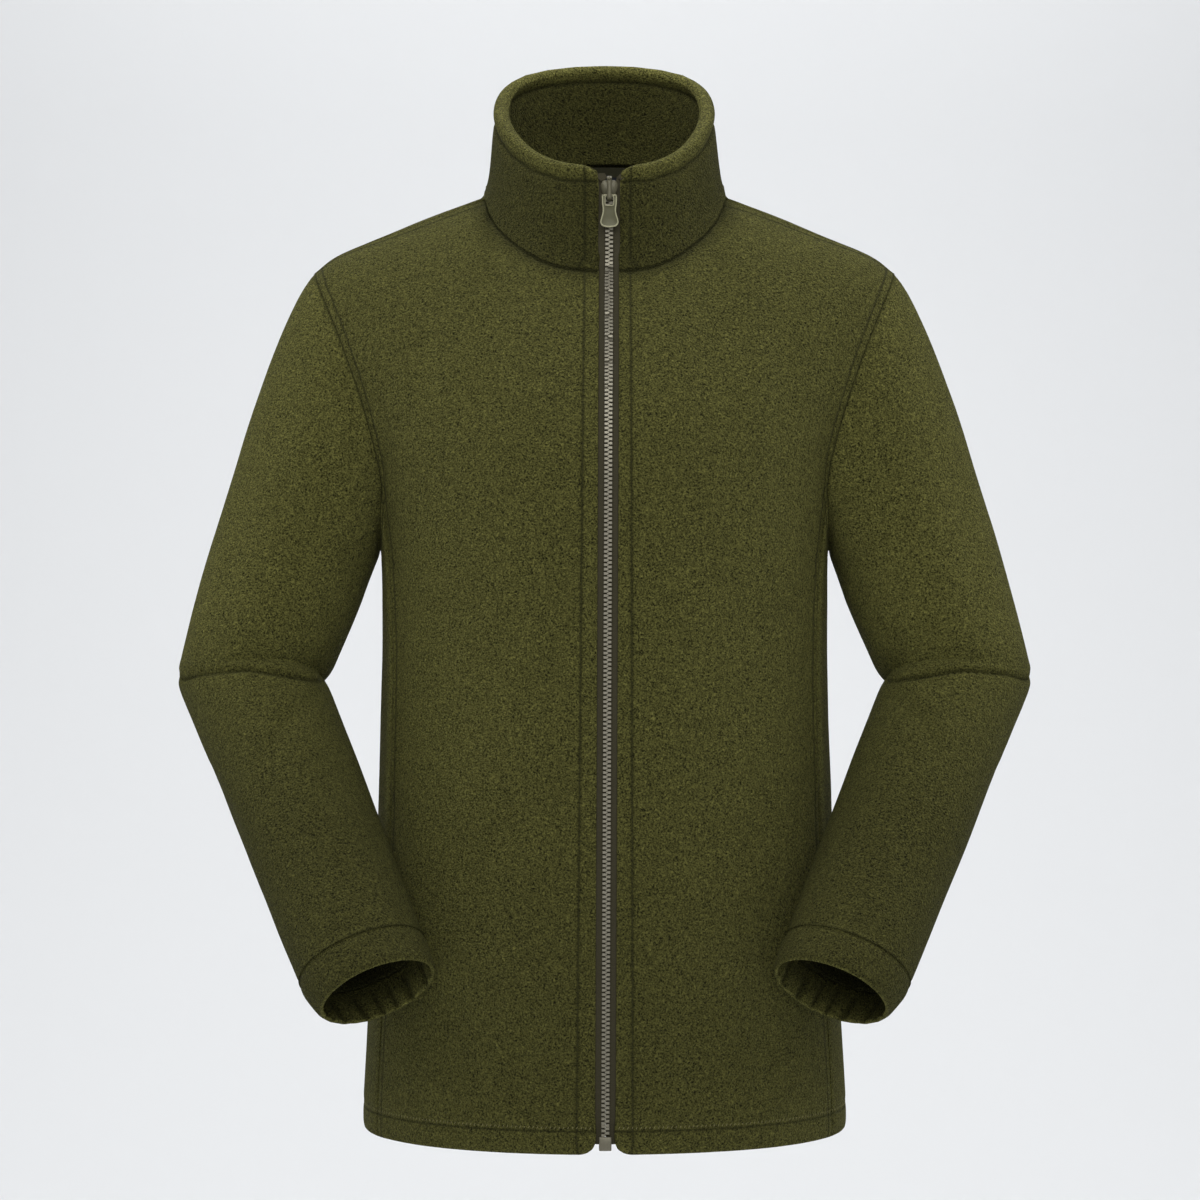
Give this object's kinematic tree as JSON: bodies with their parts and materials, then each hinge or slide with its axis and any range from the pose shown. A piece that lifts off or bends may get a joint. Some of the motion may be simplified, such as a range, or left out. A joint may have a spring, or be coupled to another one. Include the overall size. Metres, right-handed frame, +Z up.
{
  "type": "fleece jacket",
  "caption": "Hip-length fleece jacket with a stand collar, a full-length front zip and long sleeves bent at the elbow, filled out as it is worn.",
  "frame": {"origin": "between the shoulders, level with the sides of the neck seam, where the wearer's shoulders carry the jacket", "axes": "+Z up, -Y out of the front; the wearer's left is at +X"},
  "size_m": [0.6276, 0.3076, 0.7908],
  "materials": {
    "fleece": "matt, with a short nap",
    "tape": "woven",
    "label": "woven",
    "metal": "satin"
  },
  "bodies": {
    "jacket": {"front_left": "fleece", "front_right": "fleece", "back": "fleece", "sleeve_left": "fleece", "sleeve_right": "fleece", "cuff_left": "fleece", "cuff_right": "fleece", "collar_outer": "fleece", "collar_inner": "fleece", "zip_tape_left": "tape", "zip_tape_right": "tape", "neck_tape": "tape", "neck_label": "label", "zip_teeth": "metal", "zip_slider": "metal", "zip_box": "metal"},
    "pull_tab": {"zip_pull": "metal"}
  },
  "joints": [
    {"name": "pull_hinge", "type": "hinge", "parent": "jacket", "child": "pull_tab", "pos_m": [0.00341, -0.08, -0.0053], "axis": [1, 0, 0], "range_deg": [-140, 0]}
  ]
}
